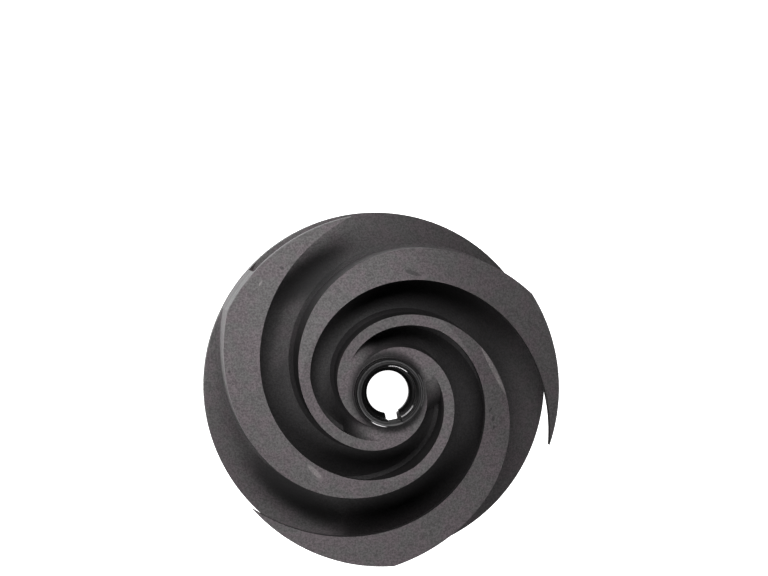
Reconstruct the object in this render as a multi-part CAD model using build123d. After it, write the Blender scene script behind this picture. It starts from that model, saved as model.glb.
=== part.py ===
from build123d import *
import math
import os

# Pump impeller, one iron casting: hub, conical back shroud and three spiral vanes whose
# outer halves carry a flange that overhangs the passage.
# Millimetres and degrees. The bore axis is Z, the suction side is up, and Z is 0 on the
# back face of the shroud rim. Azimuths run clockwise from +Y, seen from the suction side.
# Lags are azimuths behind a vane's tip.

# Overall
outer_diameter = 200.0
rim_thickness = 8.0
outlet_width = 40.6
vane_count = 3
first_tip_azimuth = 108.6

# Suction side: the turned cone of the vane lands, and the flatter eye inside it
land_cone_angle = 13.7
eye_radius = 50.0
eye_slope_angle = 3.6

# Shroud floor: the rim's cone, a blend, and the steep flank that rises to the hub ring
floor_cone_angle = 24.5
floor_blend_radius = 12.0
hub_flank_angle = 63.4
hub_flank_gap = 1.4

# Vane faces in plan, as shares of the outer radius at stations of lag
station_step = 60.0
first_station = -60.0
curve_step = 20.0
convex_shares = (1.73, 1.29, 0.962, 0.739, 0.535, 0.395, 0.303, 0.233, 0.186)
flange_shares = (1.37, 1.00, 0.754, 0.580, 0.462, 0.361, 0.290)
web_thickness_at_tip = 7.8
web_thickness_at_eye = 5.7
passage_wrap = 300.0
flange_wrap = 187.0
flange_thickness = 5.0
floor_root_size = 2.5

# Rounded brow over which each passage runs out at the eye
brow_radius = 24.0
brow_rise = 0.7
brow_lag = 290.0
brow_distance = 24.0
brow_width = 24.0

# Hub
hub_ring_diameter = 38.4
hub_ring_height = 8.0
hub_ring_chamfer = 0.8
hub_ring_root_size = 1.2
hub_length = 21.5
mouth_diameter = 29.8
mouth_chamfer = 1.2
mouth_depth = 8.0
lip_diameter = 24.0
lip_thickness = 4.5
lip_chamfer = 1.4
bore_diameter = 28.0
bore_chamfer = 1.0
keyway_width = 8.0
keyway_depth = 3.3
keyway_azimuth = 169.0

# Back
shroud_thickness = 8.0
rim_face_width = 12.0
hub_back_diameter = 36.0

# How far a cutting solid runs past what it cuts
overrun = 15.0

pitch = 360.0 / vane_count
outer_radius = outer_diameter / 2
hub_radius = hub_ring_diameter / 2
hub_flank_start = hub_radius + hub_flank_gap
mouth_radius = mouth_diameter / 2
lip_radius = lip_diameter / 2
bore_radius = bore_diameter / 2
land_slope = math.tan(math.radians(land_cone_angle))
eye_slope = math.tan(math.radians(eye_slope_angle))
floor_slope = math.tan(math.radians(floor_cone_angle))
flank_slope = math.tan(math.radians(hub_flank_angle))

land_height = rim_thickness + outlet_width
eye_height = land_height + (outer_radius - eye_radius) * land_slope
hub_base = eye_height - (eye_radius - hub_radius) * eye_slope
hub_face = hub_base + hub_ring_height
hub_back = hub_face - hub_length
lip_front = hub_face - mouth_depth
lip_back = lip_front - lip_thickness
cut_radius = outer_radius + overrun
cut_top = hub_face + overrun

# Heights at which the floor's cone and the back's cone would meet the axis
floor_apex = rim_thickness + outer_radius * floor_slope
back_apex = floor_apex - shroud_thickness / math.cos(math.radians(floor_cone_angle))


def cone_knee(apex, start_radius, start_height):
    """Radius and height where a flank from a start point meets the cone of an apex."""
    radius = (start_height + start_radius * flank_slope - apex) / (flank_slope - floor_slope)
    return (radius, apex - radius * floor_slope)


def on_circle(radius, azimuth):
    angle = math.radians(azimuth)
    return (radius * math.sin(angle), radius * math.cos(angle))


def share_at(shares, lag):
    """Share of the outer radius at a lag: a cubic through the logarithms of four stations."""
    place = (lag - first_station) / station_step
    index = min(max(int(place), 1), len(shares) - 3)
    t = place - index
    a, b, c, d = (math.log(share) for share in shares[index - 1:index + 3])
    bend = (c - a) + t * ((2 * a - 5 * b + 4 * c - d) + t * (3 * (b - c) + d - a))
    return math.exp(b + t * bend / 2)


def convex_radius(lag):
    return outer_radius * share_at(convex_shares, lag)


def web_radius(lag):
    """Radius of the web's concave face, one radial wall thickness inside its convex face."""
    gain = web_thickness_at_eye - web_thickness_at_tip
    return convex_radius(lag) - web_thickness_at_tip - gain * lag / passage_wrap


def web_middle_radius(lag):
    return (convex_radius(lag) + web_radius(lag)) / 2


def flange_radius(lag):
    return outer_radius * share_at(flange_shares, lag)


def spiral(radius_at, tip, start, end):
    """Curve in plan of one face of the vane with a tip azimuth, from one lag to another."""
    count = math.ceil(abs(end - start) / curve_step)
    lags = [start + (end - start) * step / count for step in range(count + 1)]
    return Spline([on_circle(radius_at(lag), tip - lag) for lag in lags])


def exit_lag(radius_at):
    """Lag at which a vane face, run on past its tip, reaches the cutting radius."""
    low, high = first_station, passage_wrap
    while high - low > 1e-6:
        middle = (low + high) / 2
        if radius_at(middle) > cut_radius:
            low = middle
        else:
            high = middle
    return low


def turned(points):
    """Solid of revolution about Z from an outline of radii and heights."""
    outline = Polyline([(radius, 0, height) for radius, height in points], close=True)
    return revolve(make_face(outline), Axis.Z)


def round_ring(solid, ring_radius, height, radius):
    """Round the circular edge at a ring radius and height."""
    rings = [
        edge for edge in solid.edges().filter_by(GeomType.CIRCLE)
        if abs(edge.radius - ring_radius) < 0.01 and abs((edge @ 0).Z - height) < 0.01
    ]
    return fillet(rings, radius)


def passage_plan():
    """Plan of the passage between the first vane's web and the next vane's convex face."""
    tip = first_tip_azimuth
    inner_exit = exit_lag(convex_radius)
    outer_exit = exit_lag(web_radius)
    inner = spiral(convex_radius, tip + pitch, passage_wrap + 3 * pitch / 4, inner_exit)
    outer = spiral(web_radius, tip, outer_exit, passage_wrap)
    middle_azimuth = tip + (pitch - inner_exit - outer_exit) / 2
    mouth = ThreePointArc(inner @ 1, on_circle(cut_radius, middle_azimuth), outer @ 0)
    return make_face(Wire([inner, mouth, outer, Line(outer @ 1, inner @ 0)]))


def flange_plan():
    """Plan of the overhang of the first vane's land, from its web's middle in over the passage."""
    start = exit_lag(flange_radius)
    edge = spiral(flange_radius, first_tip_azimuth, flange_wrap, start)
    root = spiral(web_middle_radius, first_tip_azimuth, start, flange_wrap)
    return make_face(Wire([edge, Line(edge @ 1, root @ 0), root, Line(root @ 1, edge @ 0)]))


def above_floor():
    """Room over the shroud floor, out past the rim and up past the hub."""
    knee = cone_knee(floor_apex, hub_flank_start, hub_base)
    far_radius = cut_radius + overrun
    room = turned([
        (hub_flank_start - overrun / flank_slope, hub_base + overrun),
        knee,
        (far_radius, floor_apex - far_radius * floor_slope),
        (far_radius, cut_top),
        (0, cut_top),
        (0, hub_base + overrun),
    ])
    return round_ring(room, *knee, floor_blend_radius)


def above_flange():
    """Room over the underside of the flanges."""
    underside = land_height - flange_thickness / math.cos(math.radians(land_cone_angle))
    far_radius = 2 * cut_radius
    return turned([
        (0, underside + outer_radius * land_slope),
        (far_radius, underside + (outer_radius - far_radius) * land_slope),
        (far_radius, 2 * cut_top),
        (0, 2 * cut_top),
    ])


def brow():
    """Block left at the inner end of a passage: a cylinder across it, and what lies behind."""
    crest = eye_height - (eye_radius - brow_distance) * eye_slope + brow_rise
    behind = (Align.MAX, Align.CENTER, Align.CENTER)
    block = Rot(90, 0, 0) * Cylinder(brow_radius, brow_width)
    block += Box(brow_width, brow_width, 2 * brow_radius, align=behind)
    placed = Pos(0, brow_distance, crest - brow_radius) * block
    return Rot(0, 0, brow_lag - first_tip_azimuth) * placed


def passage():
    """Cutter of the first passage, bevelled at its roots, with the flange and the brow left out."""
    cutter = above_floor() & extrude(passage_plan(), cut_top)
    roots = [
        edge for edge in cutter.edges()
        if max((edge @ place).Z for place in (0, 0.5, 1)) < cut_top - 1
        and math.hypot((edge @ 0.5).X, (edge @ 0.5).Y) < cut_radius - 1
    ]
    cutter = chamfer(roots, floor_root_size)
    return cutter - brow() - (extrude(flange_plan(), 2 * cut_top) & above_flange())


# Hub and shroud, turned in one piece, with the vanes still solid
hub_back_radius = hub_back_diameter / 2
rim_face_radius = outer_radius - rim_face_width
body = turned([
    (0, hub_back),
    (hub_back_radius, hub_back),
    cone_knee(back_apex, hub_back_radius, hub_back),
    (rim_face_radius, back_apex - rim_face_radius * floor_slope),
    (rim_face_radius, 0),
    (outer_radius, 0),
    (outer_radius, land_height),
    (eye_radius, eye_height),
    (hub_radius + hub_ring_root_size, hub_base),
    (hub_radius, hub_base + hub_ring_root_size),
    (hub_radius, hub_face - hub_ring_chamfer),
    (hub_radius - hub_ring_chamfer, hub_face),
    (0, hub_face),
])

# Passages between the vanes
first_passage = passage()
for index in range(vane_count):
    body -= Rot(0, 0, -pitch * index) * first_passage

# Mouth, lip, shaft bore and keyway
body -= turned([
    (0, hub_back),
    (bore_radius + bore_chamfer, hub_back),
    (bore_radius, hub_back + bore_chamfer),
    (bore_radius, lip_back),
    (lip_radius, lip_back),
    (lip_radius, lip_front - lip_chamfer),
    (lip_radius + lip_chamfer, lip_front),
    (mouth_radius, lip_front),
    (mouth_radius, hub_face - mouth_chamfer),
    (mouth_radius + mouth_chamfer, hub_face),
    (0, hub_face),
])
keyway = Box(keyway_width, bore_radius + keyway_depth, cut_top, align=(Align.CENTER, Align.MIN, Align.MIN))
body -= Rot(0, 0, -keyway_azimuth) * keyway

os.makedirs("parts", exist_ok=True)
export_step(body.solid(), "parts/impeller.step")
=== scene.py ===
import math
from collections import namedtuple

import bpy
from bpy.props import FloatProperty, FloatVectorProperty, PointerProperty
from mathutils import Matrix, Vector

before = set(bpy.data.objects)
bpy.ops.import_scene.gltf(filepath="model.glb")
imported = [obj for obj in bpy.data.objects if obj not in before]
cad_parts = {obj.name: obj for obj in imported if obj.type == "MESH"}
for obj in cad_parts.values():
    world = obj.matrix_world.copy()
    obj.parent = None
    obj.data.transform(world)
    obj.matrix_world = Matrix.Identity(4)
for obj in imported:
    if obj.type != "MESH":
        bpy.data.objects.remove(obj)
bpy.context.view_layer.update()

bl_info = {
    "name": "Pump impeller finish",
    "version": (1, 0, 0),
    "blender": (4, 5, 0),
    "location": "3D View > Sidebar > Impeller",
    "description": "Gives a cast pump impeller its skin and turned faces, and sets its stage",
    "category": "Object",
}

MM_PER_METRE = 1000.0

# Sizes of the casting in millimetres, which say where its faces lie. Slopes are rise over run.
OUTER_RADIUS = 100.0
RIM_THICKNESS = 8.0
FLOOR_SLOPE = 0.45573
LAND_HEIGHT = 48.6
LAND_SLOPE = 0.24377
EYE_RADIUS = 50.0
EYE_HEIGHT = 60.789
EYE_SLOPE = 0.06291
HUB_RADIUS = 19.2
HUB_BASE = 58.85
HUB_FACE = 66.85
HUB_BACK = 45.35
HUB_BACK_RADIUS = 18.0
LIP_RADIUS = 12.0
KEY_HALF_WIDTH = 4.0
KEY_TURN = math.radians(11)

# Radii just past the keyway's floor and just past its corners
BORE_REACH = 17.45
KEY_REACH = 18.4

# Oval in plan: its centre, its long axis in degrees from +X, and how strongly it shows
Oval = namedtuple("Oval", "x y turn length width strength")

PITS = (
    Oval(14.0, 66.5, -18, 9.5, 2.6, 0.65),
    Oval(60.0, -15.8, 70, 3.4, 1.7, 0.65),
    Oval(58.3, -10.4, 60, 3.0, 1.4, 0.65),
    Oval(60.6, -20.5, 80, 2.2, 1.5, 0.65),
    Oval(-88.5, 11.1, 10, 1.9, 1.5, 0.65),
    Oval(-59.1, 69.0, -30, 2.8, 1.7, 0.65),
)
SCUFFS = (
    Oval(59.5, 13.0, -62, 34.0, 2.6, 0.55),
    Oval(-40.9, -44.6, -45, 12.0, 3.0, 0.55),
    Oval(-71.0, 60.5, 60, 4.0, 1.2, 0.55),
)
# Painted shadows: dark ovals on the passage walls and floors where the vanes and their flanges
# cast shade
PAINTED_SHADOWS = (
    Oval(-40.0, 63.0, 38, 56.0, 18.0, 0.9),
    Oval(-48.0, -62.0, -36, 76.0, 19.0, 0.9),
    Oval(18.0, 50.0, -3, 92.0, 27.0, 0.6),
    Oval(-8.0, -41.0, 0, 66.0, 20.0, 0.6),
    Oval(12.0, -65.0, 31, 88.0, 23.0, 0.6),
)
# Painted light: a paler patch on the sloping root of the left passage, where light falls on it
PAINTED_LIGHT_PATCHES = (
    Oval(-52.5, 37.0, 73, 62.0, 13.0, 0.5),
)

# Part of a thin ring round the axis, its middle in degrees from +X
RingPart = namedtuple("RingPart", "radius half_width turn half_spread strength")

# Painted glints: light arcs on the hub ring's edges and in its mouth, where the turned metal
# catches the lamps
PAINTED_GLINTS = (
    RingPart(18.95, 0.30, 251, 16, 1.0),
    RingPart(18.95, 0.20, 5, 30, 0.25),
    RingPart(14.90, 0.45, 72, 24, 1.0),
    RingPart(14.75, 0.45, -51, 25, 0.7),
)

# Where a mark is gone and where it is full, as squares of the share of the way to its outline
MARK_FADE = (1.3, 0.5)
CLOUD_FADE = (1.3, 0.0)
EDGE_FADE = (1.3, 0.4)

# Dark sand grain, and also the painted shade on the +X side
SAND_AND_SIDE_SHADE_COLOUR = (0.020, 0.018, 0.019)
# Painted shadow, deep in the passages
PAINTED_SHADOW_COLOUR = (0.012, 0.011, 0.012)
# Painted shade round the hub's foot
HUB_FOOT_SHADE_COLOUR = (0.016, 0.015, 0.016)
PIT_COLOUR = (0.030, 0.028, 0.029)
SCUFF_COLOUR = (0.30, 0.28, 0.28)

# Patches of oxide and the depth of the bump in metres, lines of the turning in millimetres
PATCH_SIZE = 0.011
COARSE_GRAINS = 3.2
BUMP_DEPTH = 0.0005
BUMP_STRENGTH = 0.55
GROOVE_PITCH = 0.85
STREAK_SIZE = 1.6

# Stage, in metres and watts. A lamp's azimuth is clockwise from +Y, in degrees.
Lamp = namedtuple("Lamp", "name azimuth elevation distance power")

LAMPS = (
    Lamp("lamp_far", 343, 61, 0.9, 12.4),
    Lamp("lamp_near", 187, 62, 0.9, 7.7),
    Lamp("lamp_left", 290, 50, 0.5, 1.15),
)
LAMP_SIZE_PER_DISTANCE = 0.39
FLOOR_REACH = 3.0
FLOOR_HEIGHT = -0.0002
FLOOR_ROUGHNESS = 0.9
FLOOR_GLOW = 1.3
WHITE = (1.0, 1.0, 1.0, 1.0)
VIEW_GAMMA = 0.77

# Camera: its lens in millimetres and in pixels, and its axes and place in the world
SENSOR_WIDTH = 36.0
IMAGE_WIDTH = 768.0
FOCAL_LENGTH_IN_PIXELS = 2200.0
CAMERA_FAR_CLIP = 50.0
CAMERA_RIGHT = Vector((0.99015, 0.0056, 0.1399))
CAMERA_UP = Vector((0.0, 0.99921, -0.0399))
CAMERA_BACK = Vector((-0.1400, 0.0395, 0.9894))
CAMERA_PLACE = Vector((-0.1746, 0.1067, 1.2738))


class Value:
    """A node's output in an expression: each operator adds the Math node that works it out."""

    def __init__(self, finish, socket):
        self.finish = finish
        self.socket = socket

    def math(self, operation, *operands):
        return self.finish.node("Math", {"operation": operation}, dict(enumerate(operands)))

    def __add__(self, other):
        return self.math("ADD", self, other)

    def __radd__(self, other):
        return self.math("ADD", other, self)

    def __sub__(self, other):
        return self.math("SUBTRACT", self, other)

    def __rsub__(self, other):
        return self.math("SUBTRACT", other, self)

    def __mul__(self, other):
        return self.math("MULTIPLY", self, other)

    def __rmul__(self, other):
        return self.math("MULTIPLY", other, self)

    def lower(self, other):
        return self.math("MINIMUM", self, other)

    def higher(self, other):
        return self.math("MAXIMUM", self, other)

    def root(self):
        return self.math("SQRT", self)

    def wave(self, period):
        """0 to 1 and back once in each period."""
        return self.math("SINE", self * (2 * math.pi / period)) * 0.5 + 0.5

    def rise(self, low, high):
        """0 below low, 1 above high and smooth between; falls where low is above high."""
        return self.finish.node("MapRange", {"interpolation_type": "SMOOTHSTEP"}, {
            "Value": self,
            "From Min": min(low, high),
            "From Max": max(low, high),
            "To Min": float(low > high),
            "To Max": float(low < high),
        }, "Result")


class Finish:
    """A new material and its nodes."""

    def __init__(self, name):
        self.material = bpy.data.materials.new(name)
        self.material.use_nodes = True
        self.tree = self.material.node_tree
        self.tree.nodes.clear()

    def node(self, kind, settings=None, inputs=None, output=0):
        """Adds a node, sets it up, then gives its inputs their values or links."""
        node = self.tree.nodes.new("ShaderNode" + kind)
        for name, setting in (settings or {}).items():
            setattr(node, name, setting)
        for name, item in (inputs or {}).items():
            if isinstance(item, Value):
                self.tree.links.new(item.socket, node.inputs[name])
            else:
                node.inputs[name].default_value = item
        return Value(self, node.outputs[output]) if node.outputs else None

    def mix(self, factor, first, second):
        """First colour where the factor is 0, second colour where it is 1."""
        return self.node("Mix", {"data_type": "RGBA"}, {0: factor, 6: first, 7: second}, 2)

    def noise(self, place, size, detail=2.0, roughness=0.5):
        """Cloudy noise around 0.5 whose lumps are about one size across."""
        return self.node("TexNoise", None, {
            "Vector": place, "Scale": 1.0 / size, "Detail": detail, "Roughness": roughness})

    def cover(self, surface):
        """Makes a shader the material's surface."""
        self.node("OutputMaterial", None, {"Surface": surface})
        return self.material


def tint(colour, share=1.0):
    """A colour, or a share of it, as a socket takes it."""
    return (colour[0] * share, colour[1] * share, colour[2] * share, 1.0)


def highest(masks):
    """The highest of some masks at each place."""
    first, *others = masks
    for mask in others:
        first = first.higher(mask)
    return first


class CastingFinish(Finish):
    """Sand-cast iron skin with painted shade and painted shadows down in the passages, and
    turned rim, hub ring and bore.
    """

    def __init__(self, looks):
        super().__init__("cast_iron_skin")
        self.looks = looks
        place = self.node("TexCoord", output="Object")
        self.x, self.y, self.z = (
            self.node("SeparateXYZ", None, {"Vector": place}, axis) * MM_PER_METRE
            for axis in range(3))
        self.radius = (self.x * self.x + self.y * self.y).root()
        self.find_cast_faces()
        self.find_turned_faces()

        self.grain = self.noise(place, looks.grain_size, 3.0, 0.65)
        self.coarse = self.noise(place, COARSE_GRAINS * looks.grain_size, 2.0)
        self.patches = self.noise(place, PATCH_SIZE, 2.0, 0.6)
        self.speckle = (self.grain * 0.85 + self.coarse * 0.15).rise(0.33, 0.67)
        self.grooves = (self.radius + self.z * 0.6).wave(GROOVE_PITCH)
        across_grooves = self.node("CombineXYZ", None, {"X": self.radius, "Y": self.z})
        self.streaks = self.noise(across_grooves, STREAK_SIZE, 3.0, 0.7)

    def find_cast_faces(self):
        """Masks of the cast faces, 1 on a face and 0 off it, from the radius and the height."""
        radius, z = self.radius, self.z
        land_level = (LAND_HEIGHT + (OUTER_RADIUS - radius) * LAND_SLOPE).lower(
            EYE_HEIGHT - (EYE_RADIUS - radius) * EYE_SLOPE)
        floor_level = RIM_THICKNESS + (OUTER_RADIUS - radius) * FLOOR_SLOPE
        depth = land_level - z
        self.land = depth.rise(0.7, 0.25)
        # The brow, the back and the open floor also say where the painted shade of the passages
        # gives way to the oxide
        self.brow = depth.rise(11.0, 0.0) * radius.rise(38.0, 31.0)
        self.back = (floor_level - z).rise(3.5, 5.0)
        self.passage = (1 - self.land) * (1 - self.back)
        self.open_floor = radius.rise(66.0, 99.0)

    def find_turned_faces(self):
        """Masks of the turned faces, with the keyway, the dry faces and the painted glints on
        the hub ring's edges.
        """
        radius, z = self.radius, self.z
        across = self.x * math.cos(KEY_TURN) + self.y * math.sin(KEY_TURN)
        along = self.x * math.sin(KEY_TURN) - self.y * math.cos(KEY_TURN)
        wall = KEY_HALF_WIDTH ** 2
        self.keyway = ((across * across).rise(wall + 0.8, wall + 0.3)
                       * along.rise(LIP_RADIUS, LIP_RADIUS + 0.2)
                       * radius.rise(KEY_REACH + 0.2, KEY_REACH))
        self.bore = radius.rise(BORE_REACH + 0.15, BORE_REACH)
        self.rim = radius.rise(OUTER_RADIUS - 0.25, OUTER_RADIUS - 0.1)
        self.rim_back = z.rise(0.3, 0.1)
        hub_front = (radius.rise(HUB_RADIUS + 0.3, HUB_RADIUS + 0.1)
                     * z.rise(HUB_BASE + 0.2, HUB_BASE + 0.8))
        hub_back = (z.rise(HUB_BACK + 0.3, HUB_BACK + 0.15)
                    * radius.rise(HUB_BACK_RADIUS + 0.3, HUB_BACK_RADIUS))
        self.turned = highest((hub_front, self.bore, hub_back, self.rim, self.rim_back))
        self.dry = self.rim.higher(self.keyway)
        self.painted_glints = (highest(self.ring_part(part) for part in PAINTED_GLINTS)
                       * self.turned * z.rise(HUB_FACE - 4.5, HUB_FACE - 4.0))

    def ovals(self, marks, fade):
        """The strength of each oval inside it, and 0 outside."""
        gone, full = fade
        masks = []
        for mark in marks:
            cosine, sine = math.cos(math.radians(mark.turn)), math.sin(math.radians(mark.turn))
            x, y = self.x - mark.x, self.y - mark.y
            along = (x * cosine + y * sine) * (2 / mark.length)
            across = (y * cosine - x * sine) * (2 / mark.width)
            masks.append((along * along + across * across).rise(gone, full) * mark.strength)
        return highest(masks)

    def ring_part(self, part):
        """The strength of part of a ring along it, and 0 elsewhere."""
        cosine, sine = math.cos(math.radians(part.turn)), math.sin(math.radians(part.turn))
        facing = (self.x * cosine + self.y * sine
                  - self.radius * math.cos(math.radians(part.half_spread)))
        offset = self.radius - part.radius
        gone, full = (share * part.half_width ** 2 for share in EDGE_FADE)
        return facing.rise(0.0, 0.5) * (offset * offset).rise(gone, full) * part.strength

    def skin(self):
        """Sand grain on patches of warm and cool oxide, with painted shade deep in the
        passages, painted shadows, a painted patch of light, and painted shade towards +X and
        round the hub's foot.
        """
        looks = self.looks
        oxide = self.mix(
            self.patches.rise(0.40, 0.60), tint(looks.warm_colour), tint(looks.cool_colour))
        oxide = self.mix(self.speckle * 0.54, oxide, tint(SAND_AND_SIDE_SHADE_COLOUR))
        # Painted shade: the skin darkens towards the +X side, where less light falls
        side_shade = (self.x * 0.9 + self.y * 0.45).rise(28.0, 80.0)
        oxide = self.mix(side_shade * 0.25, oxide, tint(SAND_AND_SIDE_SHADE_COLOUR))
        # Painted shade: a darker skin deep in the passages, where shade falls, lifted on the
        # lands, the brow near the hub, the back and the open floor
        deep = self.mix(self.speckle * 0.5, tint(looks.passage_shade_colour, 1.22), tint(PAINTED_SHADOW_COLOUR))
        unshaded = highest((
            self.land, self.brow, self.back * 0.85, self.open_floor * 0.82,
            # Painted light: the paler patch lifts the passage shade where light falls on a root
            self.ovals(PAINTED_LIGHT_PATCHES, CLOUD_FADE) * self.passage))
        skin = self.mix(unshaded, deep, oxide)
        # Painted shadows: near-black ovals where the vanes and flanges cast shade
        painted_shadow = self.ovals(PAINTED_SHADOWS, CLOUD_FADE) * self.passage
        skin = self.mix(painted_shadow, skin, tint(PAINTED_SHADOW_COLOUR))
        # Painted shade: darker skin round the foot of the hub ring, in the crease where shade
        # falls
        hub_foot_shade = self.radius.rise(24.5, 20.0) * self.radius.rise(18.0, 19.0) * (1 - self.back)
        return self.mix(hub_foot_shade * 0.72, skin, tint(HUB_FOOT_SHADE_COLOUR))

    def metal(self):
        """Turned metal with fine grooves: a lighter copy on the rim as painted light, a darker
        one on the hub ring as painted shade, painted dark in the bore and keyway as shade, and
        painted glints on the hub ring's edges.
        """
        colour = self.looks.metal_colour
        streaks = self.streaks.rise(0.38, 0.62)
        # Painted light and shade: a lighter copy of the turned metal for the rim and its back
        # face, a darker one for the hub ring
        lit_metal = self.mix(streaks, tint(colour, 0.20), tint(colour, 0.36))
        shaded_metal = self.mix(streaks, tint(colour, 0.09), tint(colour, 0.30))
        bore_shade = self.mix(streaks, tint(colour, 0.03), tint(colour, 0.10))
        # Painted shade: the inside of the bore and the keyway is made dark, as shade
        inside = (self.bore * self.z.rise(HUB_FACE - 0.7, HUB_FACE - 1.5)).higher(
            self.keyway * self.z.rise(HUB_FACE - 0.05, HUB_FACE - 0.3))
        metal = self.mix(
            self.rim.higher(self.rim_back), self.mix(inside, shaded_metal, bore_shade), lit_metal)
        metal = self.mix(self.grooves * 0.3, metal, tint(colour, 0.05))
        # Painted glints: light, non-metallic arcs on the hub ring's edges
        return self.mix(self.painted_glints, metal, tint(colour, 1.3))

    def colour(self):
        """Skin and metal, with the burr and painted highlight along the lands' outer edge, and
        the pits and scuffs of the lands over them.
        """
        land = self.land
        colour = self.mix(self.turned, self.skin(), self.metal())
        # Partly a real burr of bare metal, partly a painted highlight: a patchy light line
        # along the lands' outer edge
        burr_and_edge_highlight = (land * self.radius.rise(OUTER_RADIUS - 0.6, OUTER_RADIUS - 0.3)
                * self.patches.rise(0.42, 0.55))
        colour = self.mix(burr_and_edge_highlight * 0.3, colour, tint(self.looks.metal_colour, 0.4))
        colour = self.mix(self.ovals(PITS, MARK_FADE) * land, colour, tint(PIT_COLOUR))
        scuffs = self.ovals(SCUFFS, MARK_FADE) * land * self.speckle
        return self.mix(scuffs, colour, tint(SCUFF_COLOUR))

    def relief(self):
        """Bump of the sand grain on the skin and of the grooves on the turned faces."""
        sand = (self.grain * 0.6 + self.coarse * 0.4) * (1 - self.turned)
        lines = (self.grooves * 0.5 + self.streaks) * self.turned * 0.18
        return self.node("Bump", None, {
            "Height": sand + lines, "Strength": BUMP_STRENGTH, "Distance": BUMP_DEPTH})

    def finished(self):
        """The whole material: metallic where turned, but rougher and less so where dry."""
        turned, dry = self.turned, self.dry
        return self.cover(self.node("BsdfPrincipled", None, {
            "Base Color": self.colour(),
            "Metallic": turned * (1 - self.painted_glints) * (1 - dry * 0.7) * 0.95,
            "Roughness": 0.62 - turned * 0.27 + dry * 0.37 + (self.grain - 0.5) * 0.2,
            "Normal": self.relief(),
        }))


class ImpellerLooks(bpy.types.PropertyGroup):
    """Colours, grain and light that someone may want to change"""

    warm_colour: FloatVectorProperty(
        name="Warm oxide", description="Colour of the skin's warmer patches", subtype="COLOR",
        size=3, min=0, max=1, default=(0.126, 0.108, 0.116))
    cool_colour: FloatVectorProperty(
        name="Cool oxide", description="Colour of the skin's greyer patches", subtype="COLOR",
        size=3, min=0, max=1, default=(0.114, 0.109, 0.110))
    # Painted shade: the skin's colour darkened deep in the passages
    passage_shade_colour: FloatVectorProperty(
        name="Passage", description="Colour of the skin deep in the passages", subtype="COLOR",
        size=3, min=0, max=1, default=(0.040, 0.038, 0.039))
    metal_colour: FloatVectorProperty(
        name="Turned metal", description="Colour of the turned faces", subtype="COLOR",
        size=3, min=0, max=1, default=(0.60, 0.59, 0.60))
    grain_size: FloatProperty(
        name="Grain", description="Size of the sand grain in the skin", subtype="DISTANCE",
        unit="LENGTH", default=0.0011, min=0.0003, max=0.01)
    floor_colour: FloatVectorProperty(
        name="Floor", description="Colour of the plain floor", subtype="COLOR",
        size=3, min=0, max=1, default=(0.82, 0.82, 0.82))
    light_share: FloatProperty(
        name="Light", description="Share of the lamps' full power", subtype="FACTOR",
        default=0.60, min=0, max=2)


class IMPELLER_OT_finish_casting(bpy.types.Operator):
    """Give the casting its iron skin and its turned faces"""

    bl_idname = "impeller.finish_casting"
    bl_label = "Finish the casting"

    def execute(self, context):
        skin = CastingFinish(context.scene.impeller_looks).finished()
        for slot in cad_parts["impeller"].material_slots:
            slot.material = skin
        return {"FINISHED"}


def add_floor(scene, colour):
    """Plain square floor just under the casting, its corners at plus and minus the reach."""
    corners = [(across * FLOOR_REACH, along * FLOOR_REACH, FLOOR_HEIGHT)
               for across, along in ((-1, -1), (1, -1), (1, 1), (-1, 1))]
    mesh = bpy.data.meshes.new("floor")
    mesh.from_pydata(corners, [], [(0, 1, 2, 3)])
    floor = bpy.data.objects.new("floor", mesh)
    scene.collection.objects.link(floor)
    paint = Finish("floor_paint")
    mesh.materials.append(paint.cover(paint.node("BsdfPrincipled", None, {
        "Base Color": tint(colour),
        "Roughness": FLOOR_ROUGHNESS,
        "Emission Color": tint(colour),
        "Emission Strength": FLOOR_GLOW,
    })))


def add_lamp(scene, lamp, share):
    """Soft round lamp that looks at the origin, with a share of its full power."""
    azimuth, elevation = math.radians(lamp.azimuth), math.radians(lamp.elevation)
    towards = Vector((math.sin(azimuth) * math.cos(elevation),
                      math.cos(azimuth) * math.cos(elevation),
                      math.sin(elevation)))
    light = bpy.data.lights.new(lamp.name, "AREA")
    light.shape = "DISK"
    light.size = LAMP_SIZE_PER_DISTANCE * lamp.distance
    light.energy = lamp.power * share
    holder = bpy.data.objects.new(lamp.name, light)
    holder.location = towards * lamp.distance
    holder.rotation_euler = towards.to_track_quat("Z", "Y").to_euler()
    scene.collection.objects.link(holder)


def add_surroundings(scene):
    """White world that only the camera sees, so that it adds no light to the casting."""
    world = bpy.data.worlds.new("studio")
    world.use_nodes = True
    world.node_tree.nodes["Background"].inputs["Color"].default_value = WHITE
    scene.world = world
    world.cycles_visibility.diffuse = False
    world.cycles_visibility.glossy = False


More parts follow.
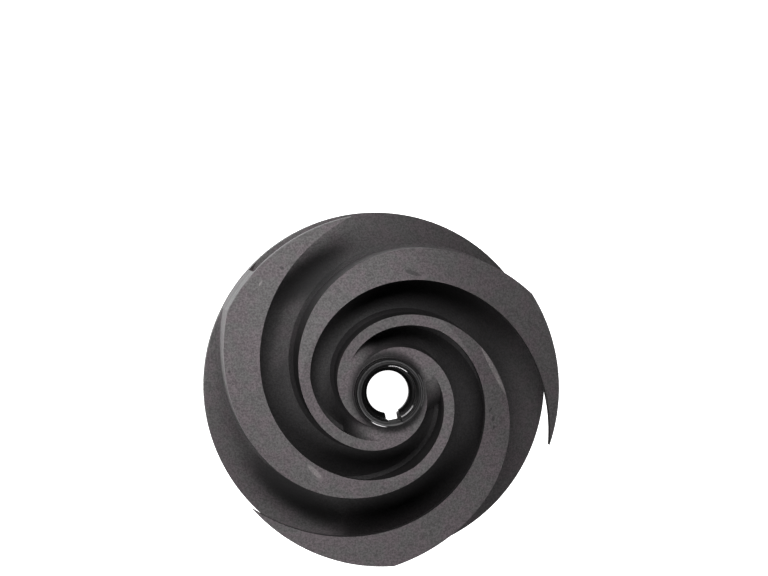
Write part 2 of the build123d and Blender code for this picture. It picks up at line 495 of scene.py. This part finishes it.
def add_camera(scene):
    camera = bpy.data.objects.new("camera", bpy.data.cameras.new("camera"))
    camera.data.sensor_width = SENSOR_WIDTH
    camera.data.lens = SENSOR_WIDTH * FOCAL_LENGTH_IN_PIXELS / IMAGE_WIDTH
    camera.data.clip_end = CAMERA_FAR_CLIP
    rows = zip(CAMERA_RIGHT, CAMERA_UP, CAMERA_BACK, CAMERA_PLACE)
    camera.matrix_world = Matrix([*rows, (0, 0, 0, 1)])
    scene.collection.objects.link(camera)
    scene.camera = camera


class IMPELLER_OT_stage(bpy.types.Operator):
    """Set out the floor, the lamps, the surroundings and the camera"""

    bl_idname = "impeller.stage"
    bl_label = "Set the stage"

    def execute(self, context):
        scene = context.scene
        looks = scene.impeller_looks
        add_floor(scene, looks.floor_colour)
        for lamp in LAMPS:
            add_lamp(scene, lamp, looks.light_share)
        add_surroundings(scene)
        scene.view_settings.view_transform = "Standard"
        scene.view_settings.gamma = VIEW_GAMMA
        add_camera(scene)
        return {"FINISHED"}


class IMPELLER_PT_looks(bpy.types.Panel):
    """Lists the impeller's operators, each under the looks that it uses"""

    bl_label = "Impeller"
    bl_idname = "IMPELLER_PT_looks"
    bl_space_type = "VIEW_3D"
    bl_region_type = "UI"
    bl_category = "Impeller"

    def draw(self, context):
        looks = context.scene.impeller_looks
        for name in ("warm_colour", "cool_colour", "passage_shade_colour", "metal_colour", "grain_size"):
            self.layout.prop(looks, name)
        self.layout.operator(IMPELLER_OT_finish_casting.bl_idname)
        for name in ("floor_colour", "light_share"):
            self.layout.prop(looks, name)
        self.layout.operator(IMPELLER_OT_stage.bl_idname)


CLASSES = (ImpellerLooks, IMPELLER_OT_finish_casting, IMPELLER_OT_stage, IMPELLER_PT_looks)


def register():
    for item in CLASSES:
        bpy.utils.register_class(item)
    bpy.types.Scene.impeller_looks = PointerProperty(type=ImpellerLooks)


def unregister():
    del bpy.types.Scene.impeller_looks
    for item in reversed(CLASSES):
        bpy.utils.unregister_class(item)


def main():
    register()
    bpy.ops.impeller.finish_casting()
    bpy.ops.impeller.stage()


if __name__ == "__main__":
    main()
